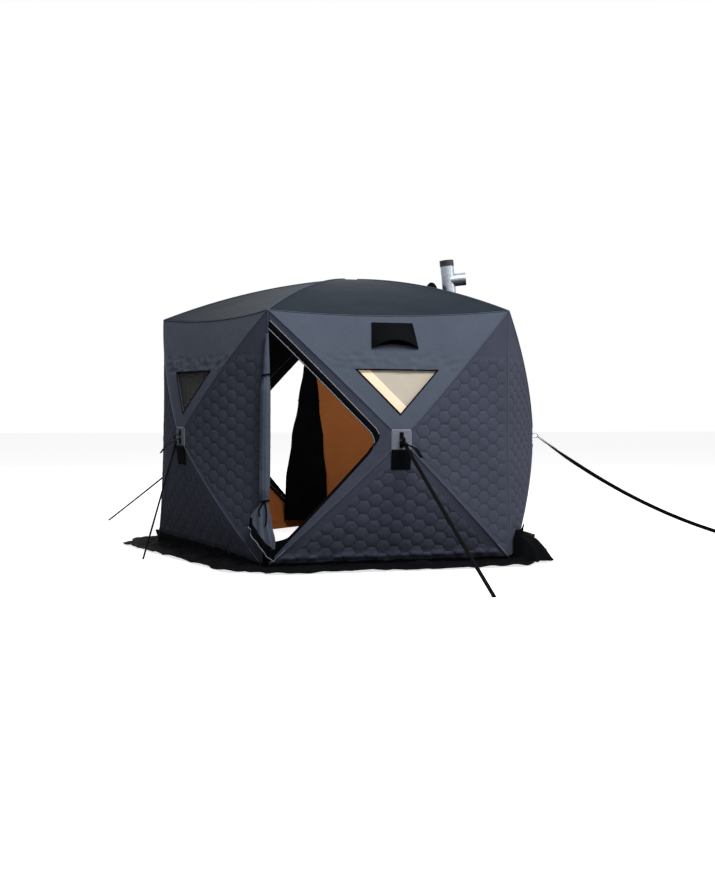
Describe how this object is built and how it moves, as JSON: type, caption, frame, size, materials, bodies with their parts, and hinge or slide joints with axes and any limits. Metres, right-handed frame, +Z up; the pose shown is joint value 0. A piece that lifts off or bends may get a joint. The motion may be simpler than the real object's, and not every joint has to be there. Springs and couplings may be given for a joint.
{
  "type": "pop-up ice fishing tent",
  "caption": "Five-sided pop-up ice fishing shelter with bowed hub walls, quilted panels, triangular windows and doorways, snow skirt, guy straps and a flue pipe through the roof.",
  "frame": {"origin": "centre of the five-sided footprint on the ice", "axes": "+Z up; -Y is the way the front wall, with its doorway, faces; +X is to the right seen from the front"},
  "size_m": [5.3012, 5.2941, 2.3406],
  "materials": {
    "quilted_fabric": "quilted, matte",
    "plain_fabric": "woven, matte",
    "roof_fabric": "woven, matte",
    "black_fabric": "coated, satin",
    "patch_fabric": "woven, matte",
    "door_fabric": "woven, matte",
    "webbing": "woven webbing",
    "window_film": "clear film over a blind",
    "hub_plastic": "moulded",
    "pole_glass_fibre": "pultruded rod",
    "ring_steel": "plated wire",
    "flue_steel": "galvanised",
    "collar_black": "matte black"
  },
  "bodies": {
    "root": {"front_wall_top": "plain_fabric", "front_door_surround": "quilted_fabric", "front_wall_right": "quilted_fabric", "front_wall_bottom": "quilted_fabric", "right_wall_top": "plain_fabric", "right_wall_left": "quilted_fabric", "right_wall_right": "quilted_fabric", "right_wall_bottom": "quilted_fabric", "rear_right_wall_top": "plain_fabric", "rear_right_wall_left": "quilted_fabric", "rear_right_wall_right": "quilted_fabric", "rear_right_wall_bottom": "quilted_fabric", "rear_left_wall_top": "plain_fabric", "rear_door_surround": "quilted_fabric", "rear_left_wall_right": "quilted_fabric", "rear_left_wall_bottom": "quilted_fabric", "left_wall_top": "plain_fabric", "left_wall_left": "quilted_fabric", "left_wall_right": "quilted_fabric", "left_wall_bottom": "quilted_fabric", "front_roof": "roof_fabric", "right_roof": "roof_fabric", "rear_right_roof": "roof_fabric", "rear_left_roof": "roof_fabric", "left_roof": "roof_fabric", "hub_patches": "patch_fabric", "roof_cap": "roof_fabric", "wall_hubs": "hub_plastic", "roof_hub": "hub_plastic", "wall_poles": "pole_glass_fibre", "roof_poles": "pole_glass_fibre", "top_corner_joints": "hub_plastic", "base_corner_joints": "hub_plastic", "windows": "window_film", "vent_hood": "black_fabric", "front_door_roll": "door_fabric", "rear_door_roll": "door_fabric", "snow_skirt": "black_fabric", "pull_loops": "webbing", "strap_rings": "ring_steel", "guy_straps": "webbing", "slack_guy_strap": "webbing", "stove_jack": "black_fabric", "flue_pipe": "flue_steel", "flue_tee": "flue_steel", "flue_collar": "collar_black"}
  },
  "joints": []
}
